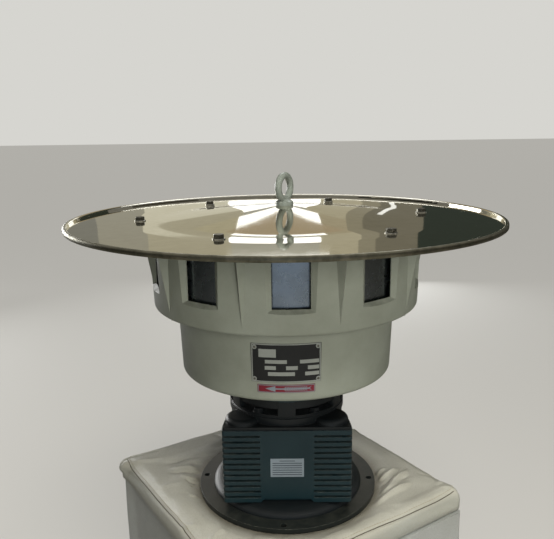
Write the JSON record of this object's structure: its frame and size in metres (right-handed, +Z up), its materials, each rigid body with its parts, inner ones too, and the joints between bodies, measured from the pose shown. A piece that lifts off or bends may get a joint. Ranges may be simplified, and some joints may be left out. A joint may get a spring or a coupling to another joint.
{
  "type": "motor-driven rotary siren on a display plinth",
  "caption": "Vertical-shaft electric siren with flared sound ports, an air-intake drum, a wide round hood and a lifting eye, on a square padded plinth.",
  "frame": {"origin": "centre of the floor under the siren's vertical shaft", "axes": "+Z up along the shaft, -Y towards the front with the nameplate, +X to the right seen from the front"},
  "size_m": [0.6685, 0.6686, 0.9815],
  "materials": {
    "cover": "soft grained cover, slightly creased",
    "board": "raw board",
    "dark_paint": "semi-gloss grey-blue machine paint",
    "flange_paint": "worn semi-gloss dark paint",
    "cream_paint": "smooth pale grey-green gloss paint",
    "bright_sheet": "mirror-polished stainless sheet",
    "rim_metal": "rolled sheet edge",
    "rotor_metal": "turned plain metal",
    "shaft_steel": "turned steel",
    "eye_metal": "glossy dark forged steel",
    "plate_black": "printed plate with a bright border",
    "plate_red": "printed red plate with a bright border",
    "label_white": "bare white label"
  },
  "bodies": {
    "stand": {"plinth_walls": "cover", "plinth_floor": "board", "lid_board": "board", "lid_pad": "cover", "base_flange": "flange_paint", "base_foot": "dark_paint", "motor_frame": "dark_paint", "motor_end_shield": "dark_paint", "motor_label": "label_white", "lower_bearing": "shaft_steel", "upper_bearing": "shaft_steel", "neck_feet_ring": "dark_paint", "neck_tube": "dark_paint", "stator_base": "cream_paint", "drum": "cream_paint", "drum_edge": "cream_paint", "stator_ring": "cream_paint", "stator_top_flange": "cream_paint", "hood": "bright_sheet", "hood_lip": "rim_metal", "hood_backing_plate": "rim_metal", "lifting_eye": "eye_metal", "nameplate": "plate_black", "direction_plate": "plate_red"},
    "rotor": {"shaft": "shaft_steel", "rotor_hub": "rotor_metal", "rotor_disc": "rotor_metal", "rotor_rim": "rotor_metal", "rotor_blades": "rotor_metal", "rotor_inlet_ring": "rotor_metal", "rotor_nut": "shaft_steel"}
  },
  "joints": [
    {"name": "rotor_spin", "type": "hinge", "parent": "stand", "child": "rotor", "pos_m": [0, 0, 0.78], "axis": [0, 0, 1], "continuous": true}
  ]
}
